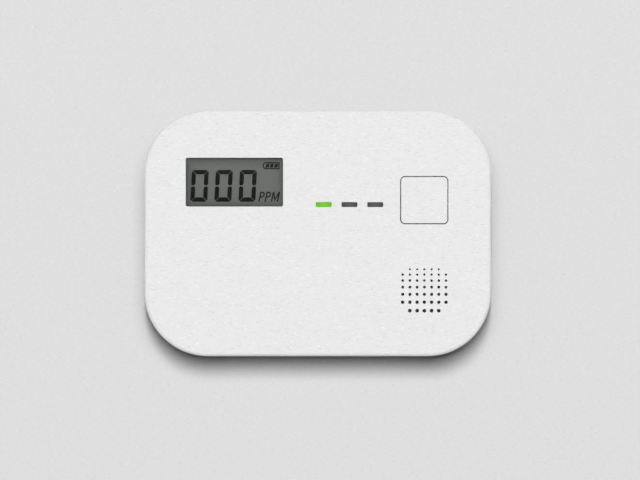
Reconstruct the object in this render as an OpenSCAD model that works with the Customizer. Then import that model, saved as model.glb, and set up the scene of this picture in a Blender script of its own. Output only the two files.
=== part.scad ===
// Wall-mounted carbon monoxide alarm.
// X runs to the right, Z up, and the wall is the plane Y = 0 with the alarm in front of it, at negative Y.
// Depths named *_d are distances in front of the wall, so a point at depth d has Y = -d.

/* [Body] */
// Width of the front cover
body_w = 120; // [118:1:126]
// Height of the front cover
body_h = 85; // [84:1:90]
// Depth from the wall to the front face
body_depth = 37; // [37:0.5:40]
// Radius of the four corners of the outline
corner_r = 22; // [21:0.5:23]
// Radius of the edge round the front face
edge_r = 1.2; // [0.8:0.1:1.6]
// Thickness of the cover's walls and face
cover_t = 2; // [1.8:0.1:2.2]
// Radius of the lip round the openings in the face
lip_r = 0.25; // [0.1:0.05:0.3]
// Depth at which the front cover begins
split_d = 13; // [11:0.5:14]

/* [Display and lamps] */
// Width of the display opening
window_w = 33.6; // [30:0.2:34]
// Height of the display opening
window_h = 16.8; // [15:0.2:17]
// Corner radius of the display opening
window_r = 0.6; // [0.4:0.1:1]
// Centre of the display opening, across
window_x = -28.85; // [-29:0.05:-28]
// Centre of the display opening, up
window_z = 17.75; // [17:0.05:18]
// Width of one lamp opening
lamp_w = 5.4; // [4.8:0.1:5.6]
// Height of one lamp opening
lamp_h = 1.6; // [1.4:0.1:1.8]
// Corner radius of a lamp opening
lamp_r = 0.35; // [0.2:0.05:0.6]
// Distance from lamp to lamp
lamp_pitch = 8.93; // [8.6:0.01:9]
// Centre of the middle lamp, across
lamp_x = 10.98; // [10.5:0.02:11]
// Centre of the lamps, up
lamp_z = 9.98; // [9.5:0.02:10.5]

/* [Test button] */
// Side of the square button cap
button_side = 16.1; // [15:0.1:16.4]
// Gap between the cap and the cover
button_gap = 0.25; // [0.2:0.05:0.35]
// Corner radius of the cap
button_r = 1.4; // [1:0.1:2]
// Centre of the button, across
button_x = 36.87; // [36.5:0.01:37]
// Centre of the button, up
button_z = 11.52; // [11:0.02:12]
// Travel of the button and of the switch plunger under it
button_travel = 0.8; // [0.5:0.1:0.8]

/* [Grille] */
// Centre of the grille, across
grille_x = 36.9; // [36.5:0.1:37]
// Height of the grille's top row
grille_top_z = -12.4; // [-12.6:0.1:-12]
// Distance between the grille's columns
grille_pitch = 2.5; // [2.4:0.05:2.5]
// Distance from the top row to the second row
row_step = 1.84; // [1.7:0.02:1.9]
// Growth of that distance from one row to the next
row_step_growth = 0.22; // [0.15:0.01:0.22]
// Diameter of the holes in the top row
hole_d = 0.68; // [0.5:0.02:0.76]
// Growth of the diameter from one row to the next
hole_growth = 0.1; // [0.06:0.01:0.12]

/* [Wall bracket] */
// Width of the bracket plate
bracket_w = 78; // [74:1:78]
// Height of the bracket plate
bracket_h = 44; // [42:1:44]
// Thickness of the bracket plate
bracket_t = 2.6; // [2.4:0.1:2.6]
// Distance between the two wall screws
screw_spacing = 40; // [36:1:40]
// Width of a screw slot
screw_slot_w = 4.6; // [4.2:0.1:4.8]
// Length of a screw slot, end to end
screw_slot_len = 9; // [8:0.5:10]
// Height that the alarm is lifted to free it from the hooks
hook_lift = 6; // [5:0.5:6]

/* [Batteries] */
// Diameter of a cell over its sleeve
cell_dia = 14.2; // [13.5:0.1:14.2]
// Length of a cell over its terminals
cell_len = 50.5; // [49.2:0.1:50.5]
// Thickness of the sliding battery door
door_t = 1.9; // [1.6:0.1:1.9]

/* [Inside] */
// Thickness of the circuit board
board_t = 1.6; // [1:0.2:1.6]
// Diameter of the gas sensor
sensor_dia = 20; // [18:0.5:20]
// Height of the gas sensor over the board
sensor_h = 16.5; // [14:0.5:16.5]
// Diameter of the buzzer
buzzer_dia = 22; // [20:0.5:22]
// Height of the buzzer
buzzer_h = 6.8; // [6:0.1:6.8]

/* [Hidden] */
$fn = 48;

// A cut runs this far past the faces that it opens
past = 1;

// Front cover
face_in_d = body_depth - cover_t;
cover_depth = body_depth - split_d;

// Rear housing: a tray whose wall slides into the cover
tray_gap = 0.2;
tray_wall = 1.8;
tray_w = body_w - 2 * (cover_t + tray_gap);
tray_h = body_h - 2 * (cover_t + tray_gap);
tray_r = corner_r - cover_t - tray_gap;
rear_d = 0.4;
floor_d = 3;
floor_t = 2;
floor_in_d = floor_d + floor_t;
tray_front_d = 17;
rim_w = 2;

// Screws that close the case, one in each corner
case_screw_x = body_w / 2 - 12;
case_screw_z = body_h / 2 - 12;
case_shank_r = 1.4;
case_bore_r = 1.5;
case_head_r = 2.6;
case_head_h = 2;
case_seat_d = 8;
case_screw_len = 20;
boss_r = 3;

// Circuit board, with its back at board_d and its front at board_front_d
board_d = 24;
board_front_d = board_d + board_t;
board_w = body_w - 10;
board_h = body_h - 11;
board_r = corner_r - 5;
board_notch_r = 4.8;
board_screws_at = [[-50.5, -4], [50.5, -2], [2, 32], [-8, -32]];
board_screw_r = 0.95;
board_bore_r = 1;
board_screw_len = 7;
standoff_r = 2.4;

// Battery bay: two cells side by side, lying along X
cell_r = cell_dia / 2;
sleeve_t = 0.15;
sleeve_gap = 0.02;
nub_r = 2.75;
nub_len = 1.4;
bay_half = 29.4;
bay_wall = 1.6;
bay_bottom = -tray_h / 2 + tray_wall;
cell_side_gap = 0.9;
lower_cell_z = bay_bottom + cell_side_gap + cell_r;
upper_cell_z = lower_cell_z + cell_dia + 2;
bay_top = upper_cell_z + cell_r + cell_side_gap;
cell_axis_d = floor_in_d + 0.65 + cell_r;
bay_front_d = cell_axis_d + cell_r + 0.6;
bay_front_t = 1.5;

// Contacts at the ends of the bay
contact_t = 0.4;
contact_gap = 0.1;
contact_side = 11;
tab_w = 2.4;
spring_turns = 4.5;
spring_wire_r = 0.4;
spring_base_r = 4.2;
spring_tip_r = 2.9;
spring_len = 2 * bay_half - 2 * contact_t - contact_gap - cell_len - 0.1;
spring_sides = 8;
spring_steps = 18;

// Battery door, which slides down in grooves
door_gap = 0.2;
door_half = 30;
flange_w = 2;
flange_t = 0.8;
lip_t = 0.9;
door_d = floor_d;
door_in_d = door_d + door_t;
door_w = 2 * (door_half + flange_w);
door_top = bay_top - door_gap;
door_bottom = -tray_h / 2;

// Bracket hooks, [x, z of the edge that carries the alarm]
bracket_z = 14;
hooks_at = [[-31, 30], [31, 30], [-31, 6], [31, 6]];
hook_w = 8;
neck_h = 2;
hook_t = 2.2;
hook_catch = hook_lift - 1;
hook_gap = 0.4;
screw_head_room = 4.4;
hook_rest_gap = 0.05;

// Display stack, from the window back to the board
window_t = 1;
window_lip = 1.2;
window_bottom = window_z - window_h / 2;
window_top = window_z + window_h / 2;
glass_t = 1.1;
glass_w = window_w + 2 * window_lip;
glass_top = window_top + window_lip;
rear_glass_bottom = window_bottom - 1.6;
ledge = 2.8;
film_t = 0.2;
film_lip = 0.6;
polarizer_d = face_in_d - window_t - 0.4 - film_t;
front_glass_d = polarizer_d - glass_t;
rear_glass_d = front_glass_d - glass_t;
reflector_d = rear_glass_d - film_t;
holder_t = 1.8;
holder_gap = 0.2;
zebra_t = 1.8;
zebra_z = rear_glass_bottom - ledge / 2 - 0.1;

// Test button and its switch
cap_t = 1.6;
skirt_t = 1.2;
skirt_d = 33;
lug_w = 4;
lug_reach = 1.1;
lug_t = 1.4;
stem_r = 2;
plunger_r = 1.7;
switch_side = 6;
switch_h = 3.6;
switch_cover_t = 0.3;
switch_floor_d = board_front_d + 1.2;
plunger_root_d = switch_floor_d + button_travel + 0.6;
plunger_tip_d = board_front_d + switch_h + switch_cover_t + button_travel + 0.5;
button_touch_gap = 0.05;

// Buzzer
grille_rows = 7;
grille_z = grille_top_z - row_offset(grille_rows - 1) / 2;
buzzer_r = buzzer_dia / 2;
buzzer_d = 26.8;
buzzer_wall = 1.2;

// Gas sensor on the back of the board
sensor_x = 6;
sensor_z = 18;
sensor_r = sensor_dia / 2;
sensor_base_h = 3.5;
sensor_pins_at = [for (a = [90, 210, 330]) [sensor_x + 6.8 * cos(a), sensor_z + 6.8 * sin(a)]];

function row_offset(row) = row * row_step + row_step_growth * row * (row - 1) / 2;
function unit(v) = v / norm(v);
function flatten(lists) = [for (list = lists) for (item = list) item];

// Places a flat shape, drawn as across and up, from depth d forwards by t
module slab(d, t) {
  translate([0, -d, 0]) rotate([90, 0, 0]) linear_extrude(t) children();
}

module peg(x, z, r, d, t) {
  slab(d, t) translate([x, z]) circle(r);
}

module block(x, z, w, h, d, t) {
  slab(d, t) translate([x, z]) square([w, h], center = true);
}

module outline(w, h, r) {
  square([w - 2 * r, h], center = true);
  square([w, h - 2 * r], center = true);
  for (sx = [-1, 1], sy = [-1, 1])
    translate([sx * (w / 2 - r), sy * (h / 2 - r)]) circle(r);
}

module slot(len, width) {
  square([len - width, width], center = true);
  for (s = [-1, 1]) translate([s * (len - width) / 2, 0]) circle(width / 2);
}

module edge_profile(reach, depth, edge) {
  square([reach, depth - edge]);
  square([reach - edge, depth]);
  translate([reach - edge, depth - edge]) circle(edge);
}

// Half the section of an opening, with the edge round its front opened out by a rounded lip
module lip_profile(reach, depth, lip) {
  square([reach, depth + past]);
  difference() {
    translate([0, depth - lip]) square([reach + lip, lip + past]);
    translate([reach + lip, depth - lip]) circle(lip);
  }
}

// A rounded oblong, standing on Z = 0, whose child is the section of its border, r wide
module oblong(w, h, r, depth) {
  for (i = [0:3]) {
    sx = (i == 0 || i == 3) ? 1 : -1;
    sy = i < 2 ? 1 : -1;
    translate([sx * (w / 2 - r), sy * (h / 2 - r), 0])
      rotate([0, 0, 90 * i]) rotate_extrude(angle = 90) children();
  }
  for (i = [0:3]) {
    across = i % 2 == 0 ? w : h;
    along = (i % 2 == 0 ? h : w) - 2 * r;
    rotate([0, 0, 90 * i]) translate([across / 2 - r, along / 2, 0])
      rotate([90, 0, 0]) linear_extrude(along) children();
  }
  translate([-w / 2 + r, -h / 2 + r, 0]) cube([w - 2 * r, h - 2 * r, depth]);
}

// A block at depth d, t deep, with its front edge rounded
module soft_block(x, z, w, h, r, d, t, edge) {
  translate([x, -d, z]) rotate([90, 0, 0]) oblong(w, h, r, t) edge_profile(r, t, edge);
}

// The cut for an opening in the cover's face
module face_opening(x, z, w, h, r) {
  depth = cover_t + past;
  translate([x, -(face_in_d - past), z]) rotate([90, 0, 0])
    oblong(w, h, r, depth + past) lip_profile(r, depth, lip_r);
}

// The grille's holes, flat: five in the top and bottom rows and seven in the others
module grille_holes() {
  for (row = [0:grille_rows - 1]) {
    reach = (row == 0 || row == grille_rows - 1) ? 2 : 3;
    for (column = [-reach:reach])
      translate([grille_x + column * grille_pitch, grille_top_z - row_offset(row)])
        circle(d = hole_d + row * hole_growth);
  }
}

module corners(x, z) {
  for (sx = [-1, 1], sz = [-1, 1]) translate([sx * x, 0, sz * z]) children();
}

// A closed tube of rings, each a list of points
module tube(rings) {
  count = len(rings);
  sides = len(rings[0]);
  wall = [
    for (i = [0:count - 2], j = [0:sides - 1])
      [i * sides + j, i * sides + (j + 1) % sides, (i + 1) * sides + (j + 1) % sides, (i + 1) * sides + j]
  ];
  near = [[for (j = [sides - 1:-1:0]) j]];
  far = [[for (j = [0:sides - 1]) (count - 1) * sides + j]];
  polyhedron(points = flatten(rings), faces = concat(wall, near, far));
}

// ---- Case ----

module front_cover() {
  color("white") difference() {
    union() {
      difference() {
        soft_block(0, 0, body_w, body_h, corner_r, split_d, cover_depth, edge_r);
        slab(split_d - past, cover_depth - cover_t + past)
          outline(body_w - 2 * cover_t, body_h - 2 * cover_t, corner_r - cover_t);
      }
      cover_bosses();
      cover_frames();
    }
    cover_openings();
    corners(case_screw_x, case_screw_z)
      peg(0, 0, case_bore_r, tray_front_d - past, case_screw_len - tray_front_d + case_seat_d + 2 + past);
    for (p = board_screws_at)
      peg(p[0], p[1], board_bore_r, board_front_d - past, board_screw_len + past);
  }
}

module cover_bosses() {
  corners(case_screw_x, case_screw_z)
    peg(0, 0, boss_r, tray_front_d + tray_gap, face_in_d - tray_front_d - tray_gap + 0.5);
  for (sx = [-1, 1], sz = [-1, 1]) {
    block(sx * (case_screw_x + 4.5), sz * case_screw_z, 9, 1.2, board_front_d + 1, face_in_d - board_front_d);
    block(sx * case_screw_x, sz * (case_screw_z + 4.5), 1.2, 9, board_front_d + 1, face_in_d - board_front_d);
  }
  for (p = board_screws_at)
    peg(p[0], p[1], standoff_r, board_front_d, face_in_d - board_front_d + 0.5);
}

// Walls behind the face round the button, the window and the buzzer
module cover_frames() {
  slab(face_in_d - 4, 4.5) translate([button_x, button_z]) difference() {
    square(button_side + 5.4, center = true);
    square(button_side + 3.2, center = true);
  }
  slab(face_in_d - window_t, window_t + 0.5) translate([window_x, window_z]) difference() {
    square([window_w + 2 * window_lip + 2.4, window_h + 2 * window_lip + 2.4], center = true);
    square([window_w + 2 * window_lip + 0.4, window_h + 2 * window_lip + 0.4], center = true);
  }
  slab(face_in_d - 4, 4.5) translate([grille_x, grille_z]) difference() {
    circle(buzzer_r + 1.3);
    circle(buzzer_r + 0.3);
  }
}

module cover_openings() {
  button_hole = button_side + 2 * button_gap;
  face_opening(window_x, window_z, window_w, window_h, window_r);
  for (i = [-1:1]) face_opening(lamp_x + i * lamp_pitch, lamp_z, lamp_w, lamp_h, lamp_r);
  face_opening(button_x, button_z, button_hole, button_hole, button_r + button_gap);
  slab(face_in_d - past, cover_t + 2 * past) grille_holes();
}

module rear_housing() {
  color("whitesmoke") difference() {
    union() {
      tray_shell();
      bay_block(0, 2 * (bay_half + bay_wall), bay_front_d + bay_front_t);
      // Rails under the door's flanges
      bay_block(1, 2 * (door_half + flange_w + 2), floor_in_d + 1.8);
      corners(case_screw_x, case_screw_z) peg(0, 0, 4.4, floor_d, tray_front_d - floor_d);
    }
    bay_cut();
    door_cut();
    bracket_slots();
    screw_head_pockets();
    vents();
    corners(case_screw_x, case_screw_z) {
      peg(0, 0, case_head_r + 0.3, floor_d - past, case_seat_d - floor_d + past);
      peg(0, 0, case_shank_r + 0.25, case_seat_d - past, tray_front_d - case_seat_d + 2 * past);
    }
    label_at(0.15) square([11.6, 38.4], center = true);
  }
}

// A block round the battery bay, from the floor forwards to depth front_d, that starts inset above the bottom
module bay_block(inset, w, front_d) {
  low = door_bottom + inset;
  high = bay_top + bay_wall;
  block(0, (low + high) / 2, w, high - low, floor_d, front_d - floor_d);
}

// Room for the heads of the wall screws, at rest and while the alarm is lifted
module screw_head_pockets() {
  for (s = [-1, 1])
    block(s * screw_spacing / 2, bracket_z - hook_lift / 2, screw_slot_len + screw_head_room,
      screw_slot_w + screw_head_room + hook_lift, floor_d - past, past + 1);
}

module tray_shell() {
  difference() {
    slab(rear_d, tray_front_d - rear_d) outline(tray_w, tray_h, tray_r);
    slab(floor_in_d, tray_front_d)
      outline(tray_w - 2 * tray_wall, tray_h - 2 * tray_wall, tray_r - tray_wall);
    slab(rear_d - past, floor_d - rear_d + past)
      outline(tray_w - 2 * rim_w, tray_h - 2 * rim_w, tray_r - rim_w);
  }
}

// The bay's hollow, its low rib between the cells, and slots for the contacts' tabs
module bay_cut() {
  difference() {
    block(0, (bay_bottom + bay_top) / 2, 2 * bay_half, bay_top - bay_bottom,
      floor_d - past, bay_front_d - floor_d + past);
    block(0, (lower_cell_z + upper_cell_z) / 2, 36, 1, cell_axis_d + 3, bay_front_d);
  }
  for (z = [upper_cell_z, lower_cell_z])
    block(bay_half - contact_t / 2, z, 0.9, tab_w + 0.6, bay_front_d - past, bay_front_t + 2 * past);
}

module door_cut() {
  opening_h = bay_top - door_bottom + past;
  opening_z = (bay_top + door_bottom - past) / 2;
  groove_w = door_w + 2 * door_gap;
  block(0, opening_z, 2 * (door_half + door_gap), opening_h, floor_d - past, floor_t + 0.1 + past);
  block(0, opening_z, groove_w, opening_h, floor_d + lip_t, floor_t + 0.1 - lip_t);
  block(0, door_bottom, groove_w, 2 * (tray_wall + door_gap),
    rear_d - past, floor_in_d + 0.1 - rear_d + past);
  // Room for the tongue in the middle of the door's top edge
  block(0, bay_top, 11, 2.8, floor_d + lip_t, floor_t + 0.1 - lip_t);
}

module bracket_slots() {
  drop = neck_h + hook_lift + hook_gap;
  for (p = hooks_at)
    block(p[0], p[1] + hook_rest_gap - drop / 2, hook_w + 0.6, drop, floor_d - past, floor_t + 2 * past);
}

// Slots in the top and side walls, behind the step, that let air reach the sensor
module vents() {
  for (i = [-4:4]) block(i * 5 + 3, tray_h / 2, 2.2, 3 * tray_wall, 6.5, 5);
  for (s = [-1, 1], i = [-3:3]) block(s * tray_w / 2, i * 5, 3 * tray_wall, 2.2, 6.5, 5);
}

// A flat shape on the housing's back, t deep into it
module label_at(t) {
  slab(floor_d - past, past + t) translate([-47.3, -1]) children();
}

module battery_door() {
  plate_h = door_top - door_bottom - tray_wall;
  plate_z = door_top - plate_h / 2;
  color("white") difference() {
    union() {
      block(0, plate_z, 2 * door_half, plate_h, door_d, door_t);
      block(0, plate_z, door_w, plate_h, door_in_d - flange_t, flange_t);
      block(0, door_bottom + tray_wall / 2, door_w, tray_wall, rear_d, door_in_d - rear_d);
      block(0, door_top, 10, 2.4, door_in_d - flange_t, flange_t);
    }
    // Two slits free the tongue, and grooves give the thumb a hold
    for (s = [-1, 1]) block(s * 6.2, door_top - 6, 0.9, 14, door_d - past, door_t + 2 * past);
    for (i = [0:4]) block(0, door_top - 10.6 - 1.9 * i, 22, 0.9, door_d - past, past + 0.5);
    slab(door_d - past, past + 0.4) translate([0, door_top - 25]) polygon([[-3.4, 2], [3.4, 2], [0, -3]]);
  }
}

module rating_label() {
  color("gainsboro") slab(floor_d + 0.03, 0.12) translate([-47.3, -1]) square([11.4, 38.2], center = true);
}

module wall_bracket() {
  color("white") difference() {
    union() {
      slab(0, bracket_t) translate([0, bracket_z]) outline(bracket_w, bracket_h, 6);
      for (p = hooks_at) hook(p[0], p[1]);
      // A bump on the sprung tongue, which clicks against the housing
      peg(0, bracket_z + 14, 1.6, bracket_t - 0.5, 0.85);
    }
    for (s = [-1, 1]) translate([s * screw_spacing / 2, 0, bracket_z]) {
      slab(-past, bracket_t + 2 * past) slot(screw_slot_len, screw_slot_w);
      slab(1.4, bracket_t) slot(screw_slot_len + screw_head_room, screw_slot_w + screw_head_room);
    }
    tongue_slits();
    for (s = [-1, 1], z = [-13.6, 13.6])
      slab(-past, 1 + past) translate([s * 21.5, bracket_z + z]) outline(28, 11.5, 1.5);
  }
}

// An L-shaped hook: the alarm rests on its neck at height z, and its tip rises behind the housing's floor
module hook(x, z) {
  tip_d = floor_in_d + hook_gap;
  block(x, z - neck_h / 2, hook_w, neck_h, bracket_t - 0.5, tip_d + hook_t - bracket_t + 0.5);
  block(x, z - neck_h + (neck_h + hook_catch) / 2, hook_w, neck_h + hook_catch, tip_d, hook_t);
}

module tongue_slits() {
  for (s = [-1, 1]) block(s * 5, bracket_z + 9.5, 1, 16, -past, bracket_t + 2 * past);
  block(0, bracket_z + 17, 11, 1, -past, bracket_t + 2 * past);
}

// ---- Display ----

module window_plate(w, h, d, t) {
  block(window_x, window_z, w, h, d, t);
}

module film(d) {
  window_plate(window_w + 2 * film_lip, window_h + 2 * film_lip, d, film_t);
}

// A sheet of glass behind the window, from height low up to the glasses' common top edge
module glass_sheet(low, d) {
  block(window_x, (low + glass_top) / 2, glass_w, glass_top - low, d, glass_t);
}

module display_window() {
  color([0.85, 0.9, 0.92, 0.4])
    window_plate(window_w + 2 * window_lip, window_h + 2 * window_lip, face_in_d - window_t, window_t);
}

module lcd_polarizer() {
  color([0.43, 0.45, 0.43]) film(polarizer_d);
}

// The front glass is the taller one: the zebra strip meets the back of its lower ledge
module lcd_front_glass() {
  color([0.6, 0.65, 0.62]) glass_sheet(rear_glass_bottom - ledge, front_glass_d);
}

module lcd_rear_glass() {
  color([0.55, 0.6, 0.57]) glass_sheet(rear_glass_bottom, rear_glass_d);
}

module lcd_reflector() {
  color("silver") film(reflector_d);
}

// A frame round the glasses, with a shelf behind them and a slot for the zebra strip
module lcd_holder() {
  low = rear_glass_bottom - ledge;
  mid_z = (low + glass_top) / 2;
  inner_w = glass_w + 2 * holder_gap;
  inner_h = glass_top - low + 2 * holder_gap;
  shelf_d = reflector_d - 0.1;
  color("ivory") difference() {
    block(window_x, mid_z, inner_w + 2 * holder_t, inner_h + 2 * holder_t,
      board_front_d, front_glass_d + 0.8 - board_front_d);
    block(window_x, mid_z, inner_w, inner_h, front_glass_d - 0.05, body_depth);
    block(window_x, (rear_glass_bottom + glass_top) / 2, inner_w,
      glass_top - rear_glass_bottom + 2 * holder_gap, shelf_d, body_depth);
    window_plate(window_w - 3, window_h - 3, board_front_d - past, body_depth);
    block(window_x, zebra_z, glass_w - 1.4, zebra_t + 0.2, board_front_d - past, body_depth);
    peg(-case_screw_x, case_screw_z, boss_r + 0.3, board_front_d - past, body_depth);
  }
}

module zebra_strip() {
  color("dimgray") block(window_x, zebra_z, glass_w - 1.8, zebra_t,
    board_front_d + 0.03, front_glass_d - board_front_d - 0.06);
}

// ---- Status lamps ----

module light_pipe(i) {
  x = lamp_x + i * lamp_pitch;
  slab(face_in_d - 0.5, cover_t + 0.35) translate([x, lamp_z])
    outline(lamp_w - 0.1, lamp_h - 0.1, lamp_r - 0.05);
  block(x, lamp_z, lamp_w + 1.2, lamp_h + 1.2, face_in_d - 1.1, 1.05);
  block(x, lamp_z, lamp_w - 0.6, lamp_h, board_front_d + 1.6, face_in_d - board_front_d - 2);
}

module green_light_pipe() { color([0.49, 0.83, 0.23]) light_pipe(-1); }
module amber_light_pipe() { color([0.4, 0.4, 0.4]) light_pipe(0); }
module red_light_pipe() { color([0.4, 0.4, 0.4]) light_pipe(1); }

module light_shield() {
  color([0.08, 0.08, 0.08]) slab(board_front_d + 0.05, face_in_d - 1.4 - board_front_d) difference() {
    translate([lamp_x, lamp_z]) square([2 * lamp_pitch + lamp_w + 3.4, lamp_h + 4.6], center = true);
    for (i = [-1:1]) translate([lamp_x + i * lamp_pitch, lamp_z])
      square([lamp_w + 0.4, lamp_h + 1.6], center = true);
  }
}

module led(i) {
  x = lamp_x + i * lamp_pitch;
  block(x, lamp_z, 3.2, 2, board_front_d, 0.9);
  peg(x, lamp_z, 0.75, board_front_d + 0.9, 0.4);
}

module green_led() { color([0.5, 0.9, 0.4]) led(-1); }
module amber_led() { color([0.9, 0.8, 0.5]) led(0); }
module red_led() { color([0.9, 0.5, 0.5]) led(1); }

// ---- Test button ----

module test_button() {
  color("white") {
    difference() {
      soft_block(button_x, button_z, button_side, button_side, button_r,
        skirt_d, body_depth - skirt_d, lip_r);
      block(button_x, button_z, button_side - 2 * skirt_t, button_side - 2 * skirt_t,
        skirt_d - past, body_depth - cap_t - skirt_d + past);
    }
    for (s = [-1, 1]) block(button_x, button_z + s * (button_side / 2 + lug_reach / 2 - 0.3),
      lug_w, lug_reach + 0.6, face_in_d - 0.2 - lug_t, lug_t);
    peg(button_x, button_z, stem_r, plunger_tip_d + button_touch_gap, body_depth - cap_t / 2 - plunger_tip_d);
    for (a = [0, 90]) translate([button_x, 0, button_z]) rotate([0, a, 0])
      block(0, 0, button_side - skirt_t, 1, skirt_d + 0.5, body_depth - cap_t / 2 - skirt_d - 0.5);
  }
}

module switch_body() {
  color([0.12, 0.12, 0.12]) difference() {
    block(button_x, button_z, switch_side, switch_side, board_front_d, switch_h);
    peg(button_x, button_z, plunger_r + 0.2, switch_floor_d, switch_h);
  }
}

module switch_cover() {
  color("silver") {
    difference() {
      block(button_x, button_z, switch_side + 0.4, switch_side, board_front_d + switch_h, switch_cover_t);
      peg(button_x, button_z, plunger_r + 0.15, board_front_d, 2 * switch_h);
    }
    for (s = [-1, 1])
      block(button_x + s * (switch_side / 2 + 0.15), button_z, 0.2, switch_side - 2,
        board_front_d + 1.5, switch_h - 1.3);
  }
}

module switch_plunger() {
  color([0.15, 0.15, 0.15])
    peg(button_x, button_z, plunger_r, plunger_root_d, plunger_tip_d - plunger_root_d);
}

// ---- Buzzer ----

module dust_mesh() {
  color([0.05, 0.05, 0.05]) peg(grille_x, grille_z, buzzer_r - 0.2, face_in_d - 0.3, 0.25);
}

module buzzer_housing() {
  color([0.1, 0.1, 0.1]) difference() {
    peg(grille_x, grille_z, buzzer_r, buzzer_d, buzzer_h);
    peg(grille_x, grille_z, buzzer_r - buzzer_wall, buzzer_d - past, 3 + past);
    peg(grille_x, grille_z, buzzer_r - 2 * buzzer_wall, buzzer_d, buzzer_h - buzzer_wall);
    peg(grille_x, grille_z, 3, buzzer_d, buzzer_h + past);
  }
}

module piezo_disc() {
  color("goldenrod") peg(grille_x, grille_z, buzzer_r - buzzer_wall - 0.1, buzzer_d + 2.7, 0.25);
}

module piezo_ceramic() {
  color("whitesmoke") peg(grille_x, grille_z, 6.5, buzzer_d + 2.4, 0.25);
}

// A wire from the piezo back to the board, bowed to one side in a plane of constant Z
function wire_point(x, z, run, t) =
  [x + run * t + 0.9 * sin(180 * t), -(buzzer_d + 1.9 - (buzzer_d + 1.6 - board_front_d) * t * t), z];

function wire_rings(x, z, run, steps = 14, sides = 10, r = 0.4) = [
  for (i = [0:steps])
    let (
      p = wire_point(x, z, run, i / steps),
      along = unit(wire_point(x, z, run, (i + 0.5) / steps) - wire_point(x, z, run, (i - 0.5) / steps)),
      side = unit(cross(along, [0, 0, 1]))
    )
    [for (j = [0:sides - 1]) p + r * (cos(360 * j / sides) * side + sin(360 * j / sides) * [0, 0, 1])]
];

module buzzer_wire_red() { color("firebrick") tube(wire_rings(grille_x + 2, grille_z + 2, 5)); }
module buzzer_wire_black() { color([0.1, 0.1, 0.1]) tube(wire_rings(grille_x + 2.5, grille_z - 2.5, 5)); }

// ---- Gas sensor ----

module sensor_can() {
  can_h = sensor_h - sensor_base_h;
  color("silver") difference() {
    union() {
      peg(sensor_x, sensor_z, sensor_r - 0.6, board_d - sensor_h, can_h);
      peg(sensor_x, sensor_z, sensor_r, board_d - sensor_base_h - 2, 2);
    }
    peg(sensor_x, sensor_z, 3, board_d - sensor_h - past, past + 0.6);
    peg(sensor_x, sensor_z, 1.2, board_d - sensor_h - past, past + 3);
  }
}

module sensor_membrane() {
  color("white") peg(sensor_x, sensor_z, 2.9, board_d - sensor_h + 0.2, 0.38);
}

module sensor_base() {
  color([0.13, 0.13, 0.14])
    peg(sensor_x, sensor_z, sensor_r - 0.8, board_d - sensor_base_h + 0.02, sensor_base_h - 0.04);
}

module sensor_pins() {
  color("goldenrod") for (p = sensor_pins_at) peg(p[0], p[1], 0.5, board_d, board_t + 1.2);
}

// ---- Circuit board ----

module circuit_board() {
  color("darkgreen") difference() {
    slab(board_d, board_t) difference() {
      outline(board_w, board_h, board_r);
      for (sx = [-1, 1], sz = [-1, 1])
        translate([sx * case_screw_x, sz * case_screw_z]) circle(board_notch_r);
      for (p = board_screws_at) translate(p) circle(board_screw_r + 0.25);
      for (p = sensor_pins_at) translate(p) circle(0.55);
      for (z = [upper_cell_z, lower_cell_z])
        translate([bay_half - contact_t / 2, z]) square([1, tab_w + 0.4], center = true);
    }
  }
}

mcu = [-31, 20];
mcu_side = 9;

module microcontroller() {
  color([0.1, 0.1, 0.11]) block(mcu[0], mcu[1], mcu_side, mcu_side, board_d - 1.5, 1.4);
}

module microcontroller_legs() {
  color("silver") for (a = [0:90:270]) translate([mcu[0], 0, mcu[1]]) rotate([0, a, 0])
    for (i = [-5:5]) block(i * 0.75, mcu_side / 2 + 0.55, 0.35, 1.06, board_d - 0.35, 0.33);
}

module capacitors() {
  color([0.2, 0.25, 0.45]) for (p = [[-13, 12.5], [-13, 24]]) peg(p[0], p[1], 3.15, board_d - 8, 7.98);
}

coil = [25.5, 12];

module step_up_coil() {
  color([0.6, 0.35, 0.2]) difference() {
    peg(coil[0], coil[1], 4.6, board_d - 8.5, 6);
    peg(coil[0], coil[1], 2.1, board_d - 8.5 - past, 6 + 2 * past);
  }
}

module coil_core() {
  color([0.3, 0.3, 0.32]) {
    peg(coil[0], coil[1], 2, board_d - 8.5, 6);
    peg(coil[0], coil[1], 4.8, board_d - 10, 1.48);
    peg(coil[0], coil[1], 4.8, board_d - 2.48, 2.46);
  }
}

// Chip resistors in three rows, then a crystal, an amplifier, a diode and a regulator
module small_chips() {
  resistors = flatten([
    [for (z = [14:4:26]) [-42, z]],
    [for (x = [30, 36]) [x, 0]],
    [for (z = [-14, -18]) [42, z]]
  ]);
  color([0.16, 0.16, 0.17]) {
    for (p = resistors) chip(p[0], p[1], 3, 1.6, 0.7);
    chip(-31, 8, 5.5, 2.4, 1.6);
    chip(-14, 4, 4.9, 3.9, 1.5);
    chip(22, 0, 4.4, 2.6, 1.9);
    chip(38, 12, 5, 4, 1.5);
  }
}

module chip(x, z, w, h, t) {
  block(x, z, w, h, board_d - t - 0.02, t);
}

// ---- Batteries and contacts ----

// One cell along X, its nub at +X and its terminals cell_len apart, about its own middle
module cell() {
  body_len = cell_len - nub_len;
  can_r = cell_r - sleeve_t;
  translate([-cell_len / 2, 0, 0]) rotate([0, 90, 0]) {
    cylinder(h = body_len - 0.8, r = can_r);
    cylinder(h = body_len, r = can_r - 0.8);
    cylinder(h = cell_len, r = nub_r);
  }
}

module cell_sleeve() {
  tube_len = cell_len - nub_len - 1.6;
  translate([-cell_len / 2 + 0.4, 0, 0]) rotate([0, 90, 0]) difference() {
    cylinder(h = tube_len, r = cell_r);
    translate([0, 0, -past]) cylinder(h = tube_len + 2 * past, r = cell_r - sleeve_t + sleeve_gap);
  }
}

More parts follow.
